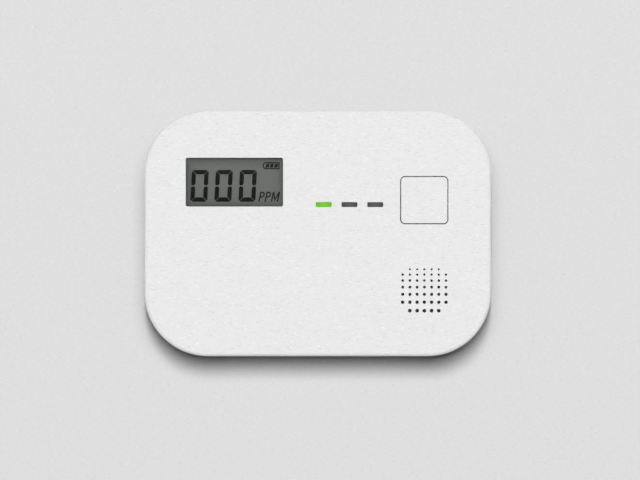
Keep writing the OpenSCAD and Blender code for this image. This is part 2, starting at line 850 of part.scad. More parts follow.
// Puts a cell in the bay: side is 1 with the nub to the right, and -1 to the left
module in_bay(side, z) {
  nub_x = bay_half - contact_t - contact_gap;
  translate([side * (nub_x - cell_len / 2), -cell_axis_d, z]) rotate([0, 0, side > 0 ? 0 : 180]) children();
}

module upper_cell() { color("silver") in_bay(1, upper_cell_z) cell(); }
module upper_cell_sleeve() { color([0.2, 0.3, 0.35]) in_bay(1, upper_cell_z) cell_sleeve(); }
module lower_cell() { color("silver") in_bay(-1, lower_cell_z) cell(); }
module lower_cell_sleeve() { color([0.2, 0.3, 0.35]) in_bay(-1, lower_cell_z) cell_sleeve(); }

module contact_plate(x, z, h) {
  translate([x, 0, 0]) block(0, z, contact_t, h, cell_axis_d - contact_side / 2, contact_side);
}

module bridge_contact() {
  color("silver") contact_plate(-bay_half + contact_t / 2, (upper_cell_z + lower_cell_z) / 2,
    upper_cell_z - lower_cell_z + contact_side);
}

// A square plate with a tab that runs forward through the bay's wall and the board
module end_contact(z) {
  contact_plate(bay_half - contact_t / 2, z, contact_side);
  block(bay_half - contact_t / 2, z, contact_t, tab_w, cell_axis_d, board_front_d + 0.7 - cell_axis_d);
}

module positive_contact() { color("silver") end_contact(upper_cell_z); }
module negative_contact() { color("silver") end_contact(lower_cell_z); }

// A cone-shaped spring along +X from the plate to the cell, wound from its wide end
function spring_ring(i, steps) =
  let (
    t = i / steps,
    a = 360 * spring_turns * t,
    r = spring_base_r + (spring_tip_r - spring_base_r) * t,
    out = [0, cos(a), sin(a)],
    rise = spring_wire_r + 0.05 + (spring_len - 2 * spring_wire_r - 0.1) * t
  )
  [for (j = [0:spring_sides - 1])
    [rise, 0, 0] + r * out
      + spring_wire_r * (cos(360 * j / spring_sides) * out - sin(360 * j / spring_sides) * [1, 0, 0])];

module contact_spring() {
  steps = ceil(spring_turns * spring_steps);
  tube([for (i = [0:steps]) spring_ring(i, steps)]);
}

module bridge_spring() {
  color("silver") translate([-bay_half + contact_t, -cell_axis_d, upper_cell_z]) contact_spring();
}

module negative_spring() {
  color("silver") translate([bay_half - contact_t, -cell_axis_d, lower_cell_z])
    rotate([0, 0, 180]) contact_spring();
}

// ---- Fasteners ----

// A pan-head screw from depth d forwards, its head behind d
module screw(head_r, head_h, shank_r, len, d) {
  difference() {
    union() {
      peg(0, 0, head_r, d - head_h, head_h);
      peg(0, 0, shank_r, d - 0.1, len + 0.1);
    }
    for (a = [0, 90]) rotate([0, a, 0])
      block(0, 0, head_r * 1.2, head_r * 0.28, d - head_h - past, past + head_h * 0.5);
  }
}

module case_screws() {
  color("silver") corners(case_screw_x, case_screw_z)
    screw(case_head_r, case_head_h, case_shank_r, case_screw_len, case_seat_d);
}

module board_screws() {
  color("silver") for (p = board_screws_at) translate([p[0], 0, p[1]])
    screw(1.9, 1.4, board_screw_r, board_screw_len + board_t - 0.5, board_d);
}

wall_bracket();
rear_housing();
front_cover();
battery_door();
test_button();
display_window();
lcd_polarizer();
lcd_front_glass();
lcd_rear_glass();
lcd_reflector();
lcd_holder();
zebra_strip();
green_light_pipe();
amber_light_pipe();
red_light_pipe();
light_shield();
green_led();
amber_led();
red_led();
circuit_board();
switch_body();
switch_cover();
switch_plunger();
dust_mesh();
buzzer_housing();
piezo_disc();
piezo_ceramic();
buzzer_wire_red();
buzzer_wire_black();
sensor_can();
sensor_base();
sensor_membrane();
sensor_pins();
microcontroller();
microcontroller_legs();
capacitors();
step_up_coil();
coil_core();
small_chips();
upper_cell();
upper_cell_sleeve();
lower_cell();
lower_cell_sleeve();
bridge_contact();
bridge_spring();
positive_contact();
negative_contact();
negative_spring();
case_screws();
board_screws();
rating_label();
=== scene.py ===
"""The looks of a wall-mounted carbon monoxide alarm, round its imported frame.

Units are metres. X runs to the right and Z up; the wall is the plane Y = 0, with the alarm in front of it.
"""
import math

import bmesh
import bpy
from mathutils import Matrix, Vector


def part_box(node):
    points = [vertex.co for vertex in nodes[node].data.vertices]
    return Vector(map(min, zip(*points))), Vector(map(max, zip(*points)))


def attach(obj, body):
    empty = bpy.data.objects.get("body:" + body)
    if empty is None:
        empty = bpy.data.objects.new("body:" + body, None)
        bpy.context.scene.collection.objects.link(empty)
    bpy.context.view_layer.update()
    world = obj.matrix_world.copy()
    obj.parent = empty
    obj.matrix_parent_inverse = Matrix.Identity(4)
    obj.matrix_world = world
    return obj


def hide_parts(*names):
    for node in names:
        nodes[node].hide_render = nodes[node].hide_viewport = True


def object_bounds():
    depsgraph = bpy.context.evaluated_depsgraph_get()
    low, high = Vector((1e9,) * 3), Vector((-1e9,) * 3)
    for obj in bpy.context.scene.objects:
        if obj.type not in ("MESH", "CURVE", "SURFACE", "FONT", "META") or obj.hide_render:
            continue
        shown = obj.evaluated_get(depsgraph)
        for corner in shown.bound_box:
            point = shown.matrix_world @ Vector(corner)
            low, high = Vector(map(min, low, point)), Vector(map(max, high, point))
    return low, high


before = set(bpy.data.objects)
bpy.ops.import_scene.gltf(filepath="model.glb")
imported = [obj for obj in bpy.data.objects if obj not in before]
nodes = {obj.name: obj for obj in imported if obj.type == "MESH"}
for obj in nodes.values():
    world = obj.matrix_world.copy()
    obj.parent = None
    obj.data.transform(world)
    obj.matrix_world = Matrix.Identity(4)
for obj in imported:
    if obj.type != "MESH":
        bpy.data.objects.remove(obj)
cad_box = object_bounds()

MM = 0.001
RIGHT = Vector((1, 0, 0))
BACK = Vector((0, 1, 0))
UP = Vector((0, 0, 1))
FORWARD = -BACK

# The corners of a square, as signs
SQUARE = ((-1, -1), (1, -1), (1, 1), (-1, 1))


def srgb(red, green, blue):
    """A display colour, 0 to 255 a channel, as the linear colour that a shader takes."""
    shares = [c / 255 for c in (red, green, blue)]
    return tuple(c / 12.92 if c < 0.04045 else ((c + 0.055) / 1.055) ** 2.4 for c in shares)


def middle(node):
    """The middle of a CAD node's box."""
    low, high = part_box(node)
    return (low + high) / 2


# ---- Materials ----


class Look:
    """A procedural material, whose textures are laid out in the frame's own coordinates."""

    def __init__(self, name, colour, roughness=0.5, sockets=()):
        self.name = name
        self.material = bpy.data.materials.new(name)
        self.material.use_nodes = True
        self.tree = self.material.node_tree
        self.colour = colour
        self.roughness = roughness
        self.shader = self.tree.nodes["Principled BSDF"]
        self.shader.inputs["Base Color"].default_value = (*colour, 1)
        self.shader.inputs["Roughness"].default_value = roughness
        for socket, value in dict(sockets).items():
            self.shader.inputs[socket].default_value = value
        self.place = self.add("ShaderNodeTexCoord").outputs["Object"]

    def add(self, kind, inputs=(), **settings):
        """A new node of that kind, with each input linked or set."""
        node = self.tree.nodes.new(kind)
        for key, value in settings.items():
            setattr(node, key, value)
        for key, value in dict(inputs).items():
            if isinstance(value, bpy.types.NodeSocket):
                self.tree.links.new(value, node.inputs[key])
            else:
                node.inputs[key].default_value = value
        return node

    def noise(self, size, detail=2.0, stretch=(1, 1, 1)):
        """Noise from 0 to 1 whose blotches are size across, or size / stretch along each axis."""
        place = self.add("ShaderNodeMapping", {"Vector": self.place, "Scale": stretch}).outputs[0]
        inputs = {"Vector": place, "Scale": 1 / size, "Detail": detail}
        return self.add("ShaderNodeTexNoise", inputs).outputs[0]

    def cells(self, size, metric="EUCLIDEAN"):
        """The distance in sizes to the nearest of some scattered points, and that point's own shade."""
        node = self.add("ShaderNodeTexVoronoi", {"Vector": self.place, "Scale": 1 / size}, distance=metric)
        return node.outputs["Distance"], node.outputs["Color"]

    def spread(self, value, low, high, to_low=0.0, to_high=1.0):
        """Maps low..high to to_low..to_high, and holds the ends beyond them."""
        ends = {"Value": value, "From Min": low, "From Max": high, "To Min": to_low, "To Max": to_high}
        return self.add("ShaderNodeMapRange", ends).outputs[0]

    def math(self, operation, first, second=0.0):
        """One step of arithmetic on one or two values."""
        return self.add("ShaderNodeMath", {0: first, 1: second}, operation=operation).outputs[0]

    def blend(self, factor, first, second):
        """The first colour where factor is 0, and the second where it is 1."""
        node = self.add("ShaderNodeMix", {"Factor": factor}, data_type="RGBA")
        for socket, value in ((node.inputs[6], first), (node.inputs[7], second)):
            if isinstance(value, bpy.types.NodeSocket):
                self.tree.links.new(value, socket)
            else:
                socket.default_value = (*value, 1)
        return node.outputs[2]

    def axis(self, index, centre=0.0):
        """The distance from centre along one axis of the frame."""
        split = self.add("ShaderNodeSeparateXYZ", {0: self.place})
        return self.math("SUBTRACT", split.outputs[index], centre)

    def near(self, centre, reach):
        """A field that is 1 at the point centre and falls to 0 at each axis's reach from it."""
        offset = self.add("ShaderNodeVectorMath", {0: self.place, 1: centre}, operation="SUBTRACT").outputs[0]
        scaled = self.add("ShaderNodeVectorMath", {0: offset, 1: reach}, operation="DIVIDE").outputs[0]
        length = self.add("ShaderNodeVectorMath", {0: scaled}, operation="LENGTH").outputs["Value"]
        return self.spread(length, 0.0, 1.0, 1.0, 0.0)

    def round_edges(self, radius):
        """Shades sharp edges as rounded, and returns a mask that rises to 1 on them."""
        rounded = self.add("ShaderNodeBevel", {"Radius": radius}, samples=6).outputs[0]
        true = self.add("ShaderNodeNewGeometry").outputs["Normal"]
        match = self.add("ShaderNodeVectorMath", {0: rounded, 1: true}, operation="DOT_PRODUCT")
        self.paint("Normal", rounded)
        return self.spread(match.outputs["Value"], 0.99, 0.8)

    def stripes(self, index, pitch):
        """A wave from -1 to 1 along one axis of the frame."""
        return self.math("SINE", self.math("MULTIPLY", self.axis(index), math.tau / pitch))

    def surface(self, factor, other):
        """Mixes another shader in, fully where factor is 1."""
        mixed = self.add("ShaderNodeMixShader", {0: factor, 1: self.shader.outputs[0], 2: other})
        self.tree.links.new(mixed.outputs[0], self.tree.nodes["Material Output"].inputs["Surface"])

    def paint(self, socket, value):
        """Links a value to one of the shader's own sockets."""
        self.tree.links.new(value, self.shader.inputs[socket])

    def mottle(self, factor, share):
        """Varies the colour by a share of itself, darker where factor is 0 and lighter where it is 1."""
        dark = tuple(c * (1 - share) for c in self.colour)
        light = tuple(min(c * (1 + share), 1.0) for c in self.colour)
        tone = self.blend(factor, dark, light)
        self.paint("Base Color", tone)
        return tone

    def flecks(self, tone):
        """Scatters thin level flecks over a tone, some darker and some lighter than the material."""
        field = self.noise(0.75 * MM, 1, (0.55, 2, 3))
        darker = tuple(c * 0.79 for c in self.colour)
        lighter = tuple(min(1.0, c * 1.19) for c in self.colour)
        rim, core, strength = 0.16, 0.23, 0.9
        for side, colour in ((-1, darker), (1, lighter)):
            fleck = self.spread(field, 0.5 + side * rim, 0.5 + side * core, 0.0, strength)
            tone = self.blend(fleck, tone, colour)
        return tone

    def polish(self, factor, share):
        """Varies the roughness by a share of itself, glossier where factor is 0."""
        glossy = self.roughness * (1 - share)
        dull = self.roughness * (1 + share)
        self.paint("Roughness", self.spread(factor, 0, 1, glossy, dull))

    def relief(self, height, depth, strength=1.0):
        """Fine relief of that depth, on top of any before it."""
        inputs = {"Height": height, "Distance": depth, "Strength": strength}
        before = self.shader.inputs["Normal"]
        if before.is_linked:
            inputs["Normal"] = before.links[0].from_socket
        self.paint("Normal", self.add("ShaderNodeBump", inputs).outputs[0])


def moulded_plastic(name, colour, roughness=0.46, grain=0.3 * MM):
    """Injection-moulded plastic: a spark-eroded grain, faint clouds and flecks, glossier edges, and a painted
    highlight that lightens its edges.
    """
    look = Look(name, colour, roughness)
    worn_and_highlit_edge = look.round_edges(0.2 * MM)
    clouds = look.spread(look.noise(1.1 * MM, 6), 0.34, 0.66)
    tone = look.flecks(look.mottle(clouds, 0.012))
    # Painted highlight: the colour is lightened along the edges; the gloss given to them below is wear
    lighter = tuple(min(1.0, c + 0.06) for c in colour)
    look.paint("Base Color", look.blend(look.math("MULTIPLY", worn_and_highlit_edge, 0.5), tone, lighter))
    uneven = look.noise(2.5 * MM, 3)
    look.polish(look.math("SUBTRACT", uneven, look.math("MULTIPLY", worn_and_highlit_edge, 0.6)), 0.25)
    grain_depth = 0.006 * MM
    look.relief(look.noise(grain, 4), grain_depth)
    look.relief(look.noise(1.6 * MM, 3), 3 * grain_depth, 0.7)
    return look


def button_plastic(name, colour, cap):
    """The push button's plastic: a pale cap of that depth over a dark skirt, whose dark grey is painted shade
    that keeps the gap round the cap dark.
    """
    look = moulded_plastic(name, colour)
    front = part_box("test_button")[0].y
    pale = look.shader.inputs["Base Color"].links[0].from_socket
    seam = 0.2 * MM
    below = look.spread(look.axis(1, front), cap - seam, cap)
    # Painted shade: the colour turns dark grey below the cap, where the gap round the button falls in shade
    look.paint("Base Color", look.blend(below, pale, srgb(84, 84, 86)))
    return look


def rubber(name, colour):
    """Matt rubber, insulation or ink with a fine dusty grain."""
    look = Look(name, colour, 0.7)
    look.mottle(look.noise(1.2 * MM, 4), 0.25)
    look.polish(look.noise(0.8 * MM), 0.2)
    look.relief(look.noise(0.12 * MM, 3), 0.006 * MM)
    return look


def sheet_metal(name, colour, roughness=0.28, lay=(1, 1, 14), scratch=0.16 * MM):
    """Rolled and plated metal, with fine lines along its rolling direction and a little staining."""
    look = Look(name, colour, roughness, {"Metallic": 1.0})
    look.mottle(look.noise(5 * MM, 4), 0.1)
    lines = look.noise(scratch, 3, lay)
    look.polish(lines, 0.45)
    look.relief(lines, 0.002 * MM)
    look.relief(look.noise(3 * MM, 2), 0.01 * MM, 0.4)
    return look


def clear_plastic(name):
    """A clear acrylic window with faint smears; light from the lamps passes straight through it."""
    look = Look(name, (0.96, 0.965, 0.96), 0.04, {"Transmission Weight": 1.0, "IOR": 1.49})
    look.polish(look.noise(4 * MM, 4), 0.7)
    look.relief(look.noise(18 * MM, 2), 0.02 * MM, 0.2)
    see_through = look.add("ShaderNodeBsdfTransparent", {"Color": (0.94, 0.945, 0.94, 1)}).outputs[0]
    look.surface(look.add("ShaderNodeLightPath").outputs["Is Shadow Ray"], see_through)
    return look


def glass(name):
    """The display's thin glass, faintly green and a little uneven."""
    look = Look(name, srgb(176, 196, 188), 0.06, {"IOR": 1.52})
    look.mottle(look.noise(6 * MM), 0.05)
    look.polish(look.noise(3 * MM, 3), 0.4)
    look.relief(look.noise(9 * MM), 0.01 * MM, 0.3)
    return look


def display_film(name, colour):
    """The grey ground of the display, with painted shade that darkens it towards the edges of its opening,
    where the opening's rim shadows it.
    """
    look = Look(name, colour, 0.55)
    low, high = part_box("display_window")
    half = (high - low) / 2
    # The painted shade is least a little right of and below the window's middle
    least_shaded_point = low + half + Vector((0.4 * MM, 0, -0.5 * MM))
    sides = look.math("ABSOLUTE", look.axis(0, least_shaded_point.x))
    ends = look.math("ABSOLUTE", look.axis(2, least_shaded_point.z))
    side_fade, end_fade, darkest = 5.2 * MM, 4.8 * MM, 1.2 * MM
    by_side = look.spread(sides, half.x - side_fade, half.x - darkest)
    by_end = look.spread(ends, half.z - end_fade, half.z - darkest)
    # Painted shade: a mask that rises towards the opening's edges and darkens the ground to 0.55 of its
    # colour
    rim = look.math("MULTIPLY", look.math("MAXIMUM", by_side, by_end), 0.9)
    rim = look.math("MULTIPLY", rim, rim)
    grains = look.noise(0.1 * MM, 2)
    tone = look.mottle(grains, 0.06)
    look.paint("Base Color", look.blend(rim, tone, tuple(c * 0.55 for c in colour)))
    look.polish(look.noise(5 * MM, 3), 0.2)
    look.relief(grains, 0.002 * MM)
    return look


def lit_plastic(name, node, colour, glow, strength):
    """A translucent light pipe with a lamp behind it, brightest in the middle."""
    centre = middle(node)
    centre.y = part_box(node)[0].y
    look = Look(name, colour, 0.32, {"IOR": 1.49})
    look.mottle(look.noise(0.6 * MM, 3), 0.08)
    bright = look.near(centre, (3.6 * MM, 4 * MM, 1.9 * MM))
    look.shader.inputs["Emission Color"].default_value = (*glow, 1)
    look.paint("Emission Strength", look.spread(bright, 0.0, 1.0, 0.55 * strength, strength))
    look.relief(look.noise(0.25 * MM, 2), 0.003 * MM)
    return look


def smoked_plastic(name, node, dark, light):
    """A grey light pipe with its lamp off, with painted light and shade: paler in the middle and darker
    towards its edges.
    """
    centre = middle(node)
    centre.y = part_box(node)[0].y
    look = Look(name, light, 0.35, {"IOR": 1.49})
    # Painted light and shade: the colour runs from light in the middle to dark at the edges, with a little
    # random speckle
    core = look.near(centre, (3.0 * MM, 4 * MM, 1.4 * MM))
    painted_core_light_and_speckle = look.math("ADD", core, look.math("MULTIPLY", look.noise(0.3 * MM), 0.2))
    look.paint("Base Color", look.blend(painted_core_light_and_speckle, dark, light))
    look.polish(look.noise(1.1 * MM), 0.2)
    look.relief(look.noise(0.25 * MM, 2), 0.003 * MM)
    return look


def led_resin(name, colour):
    """A chip lamp: a coloured lens in front of a pale ceramic body."""
    look = Look(name, colour, 0.2, {"IOR": 1.5})
    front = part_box("green_led")[0].y
    lens = look.spread(look.axis(1, front), 0.0, 0.9 * MM, 1.0, 0.0)
    look.paint("Base Color", look.blend(lens, (0.75, 0.74, 0.7), colour))
    look.polish(look.noise(0.3 * MM), 0.3)
    look.relief(look.noise(0.15 * MM), 0.003 * MM)
    return look


def board_laminate(name):
    """Green solder mask over bundles of parallel copper tracks, with tinned vias between them."""
    look = Look(name, srgb(15, 50, 33), 0.32)
    patch = look.cells(8 * MM, "CHEBYCHEV")[1]
    upright, level = (look.spread(look.stripes(index, 1.1 * MM), 0.55, 0.8) for index in (0, 2))
    upright = look.math("MULTIPLY", upright, look.math("LESS_THAN", patch, 0.42))
    level = look.math("MULTIPLY", level, look.math("GREATER_THAN", patch, 0.58))
    track = look.math("MAXIMUM", upright, level)
    weave = look.noise(0.5 * MM, 2)
    tone = look.blend(track, look.mottle(weave, 0.12), srgb(34, 88, 56))
    via = look.spread(look.cells(3.6 * MM)[0], 0.13, 0.15, 1.0, 0.0)
    look.paint("Base Color", look.blend(via, tone, srgb(176, 178, 172)))
    look.paint("Metallic", via)
    look.polish(look.noise(2 * MM, 3), 0.25)
    look.relief(look.math("MAXIMUM", track, via), 0.035 * MM)
    look.relief(weave, 0.008 * MM)
    return look


def woven_mesh(name, colour):
    """A fine square weave, whose threads cross 0.35 mm apart."""
    look = Look(name, colour, 0.8)
    pitch = 0.35 * MM
    threads = look.math("MAXIMUM", look.stripes(0, pitch), look.stripes(2, pitch))
    look.paint("Base Color", look.blend(look.spread(threads, -0.4, 0.9), (0.0015,) * 3, colour))
    look.polish(look.noise(1 * MM), 0.15)
    look.relief(threads, 0.05 * MM)
    return look


def printed_label(name, colour):
    """Silvery label film with a plain printed frame and no writing."""
    look = Look(name, colour, 0.38, {"Metallic": 0.25})
    low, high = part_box("rating_label")
    centre = (low + high) / 2
    half = (high - low) / 2

    def margin(width):
        """A mask that is 1 in a border of that width along the label's edge."""
        shares = []
        for index in (0, 2):
            offset = look.math("ABSOLUTE", look.axis(index, centre[index]))
            inside = half[index] - width
            shares.append(look.spread(offset, inside - 0.05 * MM, inside))
        return look.math("MAXIMUM", *shares)

    frame_line = look.math("SUBTRACT", margin(0.9 * MM), margin(0.65 * MM))
    tone = look.mottle(look.noise(7 * MM, 3), 0.04)
    look.paint("Base Color", look.blend(frame_line, tone, (0.05, 0.055, 0.06)))
    look.polish(look.noise(1.5 * MM, 3), 0.25)
    look.relief(look.noise(0.2 * MM, 2), 0.002 * MM)
    return look


def ceramic(name, colour):
    """Fired ceramic, ferrite or felted film, slightly clouded."""
    look = Look(name, colour, 0.36)
    look.mottle(look.noise(1.4 * MM, 4), 0.06)
    look.polish(look.noise(0.7 * MM, 3), 0.3)
    look.relief(look.noise(0.2 * MM, 4), 0.004 * MM)
    return look


def wrapped_sleeve(name, colour, band):
    """The printed shrink sleeve of a plain cell: one colour, with a stripe and a paler end on each side."""
    look = Look(name, colour, 0.24, {"Coat Weight": 0.3})
    along = look.math("ABSOLUTE", look.axis(0))
    stripe_from, stripe_to, pale_end = (
        look.spread(along, place * MM, (place + 0.1) * MM) for place in (14.9, 15.9, 17.0))
    tone = look.mottle(look.noise(9 * MM, 2), 0.06)
    tone = look.blend(look.math("SUBTRACT", stripe_from, stripe_to), tone, band)
    look.paint("Base Color", look.blend(pale_end, tone, band))
    look.polish(look.noise(2 * MM, 3), 0.3)
    look.relief(look.noise(3 * MM, 2, (1, 4, 4)), 0.02 * MM, 0.5)
    return look


WHITE = srgb(232, 232, 232)
looks = {look.name: look for look in (
    moulded_plastic("cover_plastic", WHITE),
    button_plastic("button_plastic", WHITE, 1.3 * MM),
    moulded_plastic("door_plastic", srgb(229, 229, 227), 0.5),
    moulded_plastic("housing_plastic", srgb(227, 227, 225), 0.52),
    moulded_plastic("bracket_plastic", srgb(225, 225, 222), 0.55),
    moulded_plastic("holder_plastic", srgb(214, 212, 204), 0.55),
    moulded_plastic("black_plastic", srgb(34, 34, 36), 0.42, 0.2 * MM),
    moulded_plastic("chip_plastic", srgb(38, 38, 40), 0.6, 0.12 * MM),
    clear_plastic("window_plastic"),
    display_film("polarizer_film", srgb(106, 108, 105)),
    glass("lcd_glass"),
    sheet_metal("reflector_film", (0.8, 0.8, 0.79), 0.4),
    rubber("zebra_rubber", srgb(70, 70, 72)),
    rubber("black_rubber", srgb(30, 30, 31)),
    rubber("red_insulation", srgb(176, 32, 28)),
    led_resin("led_green", srgb(150, 226, 120)),
    led_resin("led_amber", srgb(236, 190, 90)),
    led_resin("led_red", srgb(226, 96, 84)),
    board_laminate("board_laminate"),
    sheet_metal("plated_steel", (0.72, 0.72, 0.7), 0.24),
    woven_mesh("mesh_fabric", srgb(74, 74, 76)),
    sheet_metal("brass_sheet", (0.78, 0.57, 0.28), 0.3),
    ceramic("piezo_ceramic", srgb(222, 219, 208)),
    sheet_metal("sensor_metal", (0.66, 0.66, 0.65), 0.3, (1, 12, 1)),
    ceramic("membrane_film", srgb(236, 235, 230)),
    sheet_metal("gold_pins", (0.83, 0.64, 0.3), 0.22),
    moulded_plastic("capacitor_can", srgb(38, 54, 104), 0.3, 0.5 * MM),
    sheet_metal("copper_winding", (0.72, 0.33, 0.17), 0.26, (1, 1, 1)),
    ceramic("ferrite", srgb(62, 62, 65)),
    sheet_metal("cell_metal", (0.7, 0.7, 0.69), 0.22, (1, 8, 1)),
    wrapped_sleeve("cell_sleeve", srgb(44, 76, 96), srgb(196, 202, 204)),
    sheet_metal("screw_steel", (0.6, 0.6, 0.6), 0.3, (1, 1, 1), 0.4 * MM),
    printed_label("label_paper", srgb(206, 208, 209)),
    rubber("lcd_ink", srgb(10, 11, 10)),
    lit_plastic("lit_green_plastic", "green_light_pipe", srgb(60, 118, 24), srgb(113, 197, 38), 0.85),
    smoked_plastic("smoked_amber", "amber_light_pipe", srgb(66, 66, 66), srgb(92, 92, 92)),
    smoked_plastic("smoked_red", "red_light_pipe", srgb(66, 66, 66), srgb(92, 92, 92)),
)}


def dress_frame():
    """Gives every CAD node its own slot's look."""
    # The white case throws no light back on the wall, so the wall stays even round it
    for name in ("front_cover", "rear_housing"):
        nodes[name].visible_diffuse = False
    for name, node in nodes.items():
        slot = node.material_slots[0].material.name
        key = "smoked_" + name.split("_")[0] if slot == "smoked_plastic" else slot
        node.material_slots[0].material = looks[key].material


# ---- Pieces in mesh code ----


def piece(name, mesh, body, look, slot, *stands_for):
    """Puts a mesh in the scene as a piece of the alarm that rides on a body."""
    made = bpy.data.objects.new(name, mesh)
    bpy.context.scene.collection.objects.link(made)
    mesh.materials.append(looks[look].material)
    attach(made, body)
    if stands_for:
        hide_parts(*stands_for)


def mesh_from(name, fill, smooth=False):
    """A mesh that the function fill draws into an empty bmesh."""
    made = bpy.data.meshes.new(name)
    shape = bmesh.new()
    fill(shape)
    bmesh.ops.recalc_face_normals(shape, faces=shape.faces)
    for face in shape.faces:
        face.smooth = smooth
    shape.to_mesh(made)
    shape.free()
    return made


def add_plate(shape, outline, front, thickness):
    """A flat plate from (x, z) points, its front at depth front and its back behind it."""
    near = [shape.verts.new((x, front, z)) for x, z in outline]
    far = [shape.verts.new((x, front + thickness, z)) for x, z in outline]
    shape.faces.new(near)
    shape.faces.new(list(reversed(far)))
    for i in range(len(outline)):
        j = (i + 1) % len(outline)
        shape.faces.new((near[j], near[i], far[i], far[j]))


def ribbon(points, width, closed=False):
    """The quads of a flat stroke of that width along (x, z) points, with mitred corners."""
    count = len(points)
    steps = range(count if closed else count - 1)
    runs = [(Vector(points[(i + 1) % count]) - Vector(points[i])).normalized() for i in steps]
    rims = []
    for i in range(count):
        before = runs[i - 1] if closed or i > 0 else runs[0]
        after = runs[i] if i < len(runs) else runs[-1]
        across = (before + after).normalized()
        side = Vector((-across.y, across.x))
        reach = width / 2 / max(0.4, side.dot(Vector((-after.y, after.x))))
        rims.append((Vector(points[i]) + side * reach, Vector(points[i]) - side * reach))
    return [(rims[i][1], rims[(i + 1) % count][1], rims[(i + 1) % count][0], rims[i][0]) for i in steps]


# The display's figures: sizes in millimetres, places from the middle of the window
DIGIT = {"width": 5.9, "height": 11.0, "stroke": 1.5, "gap": 0.11, "corner": 0.7, "pitch": 8.34}
DIGITS_AT = (-15.35, -6.75)
DIGIT_SLANT = math.tan(math.radians(3))
UNIT_AT = (8.2, -6.75)
UNIT_SLANT = math.tan(math.radians(12.5))
UNIT = {"height": 3.45, "stroke": 0.46, "pitch": 2.18}
BATTERY_AT = (9.8, 4.5)
BATTERY = {"width": 5.8, "height": 2.45, "stroke": 0.4}


def zero_segments():
    """The six lit segments of a 0, with mitred corners and a gap where the middle bar would be."""
    w, h, t, g, c = (DIGIT[k] for k in ("width", "height", "stroke", "gap", "corner"))
    cut = c / 2
    foot = h / 2 + 0.2
    top = [(c, h), (w - c, h), (w - cut - g, h - cut), (w - t - g, h - t), (t + g, h - t), (cut + g, h - cut)]
    side = [
        (0, h - c), (cut, h - cut - g), (t, h - t - g), (t, foot + 0.55),
        (t - 0.45, foot), (0.4, foot), (0, foot + 0.35),
    ]

    def flip(shape):
        return [(w - x, z) for x, z in shape]

    def drop(shape):
        return [(x, h - z) for x, z in shape]

    return [top, drop(top), side, flip(side), drop(side), drop(flip(side))]


def unit_strokes():
    """The letters PPM, for parts per million, as strokes."""
    h, s, p = (UNIT[k] for k in ("height", "stroke", "pitch"))
    belly = 1.45
    bend = 0.4
    top = h - s / 2
    foot = h - 1.75
    bowl = [(s, top), (belly - bend, top), (belly, h - 0.6)]
    bowl += [(belly, foot + bend), (belly - bend, foot), (s, foot)]
    shapes = []
    for i in range(2):
        shapes.append([(i * p, 0), (i * p + s, 0), (i * p + s, h), (i * p, h)])
        shapes += ribbon([(i * p + x, z) for x, z in bowl], s)
    w = 2.5
    half = [(0, 0), (0, h), (s * 1.15, h), (w / 2, 1.15), (w / 2, 0.05), (s, h - 1.3), (s, 0)]
    shapes.append([(2 * p + x, z) for x, z in half])
    shapes.append([(2 * p + w - x, z) for x, z in reversed(half)])
    return shapes


def battery_sign():
    """A battery lying on its side, with its nub to the left and three slanted bars in it."""
    w, h, s = (BATTERY[k] for k in ("width", "height", "stroke"))
    near = s / 2
    nub = 0.75
    tip = 0.2
    case = [(nub, near), (w - near, near), (w - near, h - near), (nub, h - near), (tip, h - nub), (tip, nub)]
    shapes = ribbon(case, s, closed=True)
    bar = 1.12
    lean = 0.43
    foot = 0.58
    for i in range(3):
        x = 0.85 + 1.5 * i
        shapes.append([(x, foot), (x + bar, foot), (x + bar + lean, h - foot), (x + lean, h - foot)])
    return shapes


def display_figures():
    """All the dark figures, on the front of the polarizer."""
    centre = middle("display_window")
    thickness = 0.018 * MM
    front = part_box("lcd_polarizer")[0].y - 0.02 * MM

    def place(shape, corner, slant):
        left, foot = corner
        points = [(left + x + z * slant, foot + z) for x, z in shape]
        return [(centre.x + x * MM, centre.z + z * MM) for x, z in points]

    outlines = []
    for i in range(3):
        corner = (DIGITS_AT[0] + i * DIGIT["pitch"], DIGITS_AT[1])
        outlines += [place(shape, corner, DIGIT_SLANT) for shape in zero_segments()]
    outlines += [place(shape, UNIT_AT, UNIT_SLANT) for shape in unit_strokes()]
    outlines += [place(shape, BATTERY_AT, 0) for shape in battery_sign()]

    def fill(shape):
        for outline in outlines:
            add_plate(shape, outline, front, thickness)

    piece("display_figures", mesh_from("display_figures", fill), "unit", "lcd_ink", "polarizer_film")


def add_tube(shape, points, radius, sides=14):
    """A closed tube along points, its rings carried along without twisting."""
    count = len(points)
    run = (points[1] - points[0]).normalized()
    side = run.orthogonal().normalized()
    rings = []
    for i, point in enumerate(points):
        ahead = points[min(i + 1, count - 1)] - points[max(i - 1, 0)]
        turned = ahead.normalized()
        side = (run.rotation_difference(turned) @ side).normalized()
        run = turned
        other = run.cross(side)
        ring = []
        for j in range(sides):
            a = math.tau * j / sides
            ring.append(shape.verts.new(point + radius * (math.cos(a) * side + math.sin(a) * other)))
        rings.append(ring)
    for near, far in zip(rings, rings[1:]):
        for j in range(sides):
            shape.faces.new((near[j], near[(j + 1) % sides], far[(j + 1) % sides], far[j]))
    shape.faces.new(list(reversed(rings[0])))
    shape.faces.new(rings[-1])


def softened(profile, radius, steps=4):
    """A profile of (along, across) points with its inner corners rounded by up to radius."""
    points = [Vector(p) for p in profile]
    smooth = [points[0]]
    for before, corner, after in zip(points, points[1:], points[2:]):
        into = before - corner
        out = after - corner
        start = corner + into.normalized() * min(radius, into.length * 0.45)
        end = corner + out.normalized() * min(radius, out.length * 0.45)
        for i in range(steps + 1):
            t = i / steps
            smooth.append((1 - t) ** 2 * start + 2 * t * (1 - t) * corner + t * t * end)
    return smooth + [points[-1]]


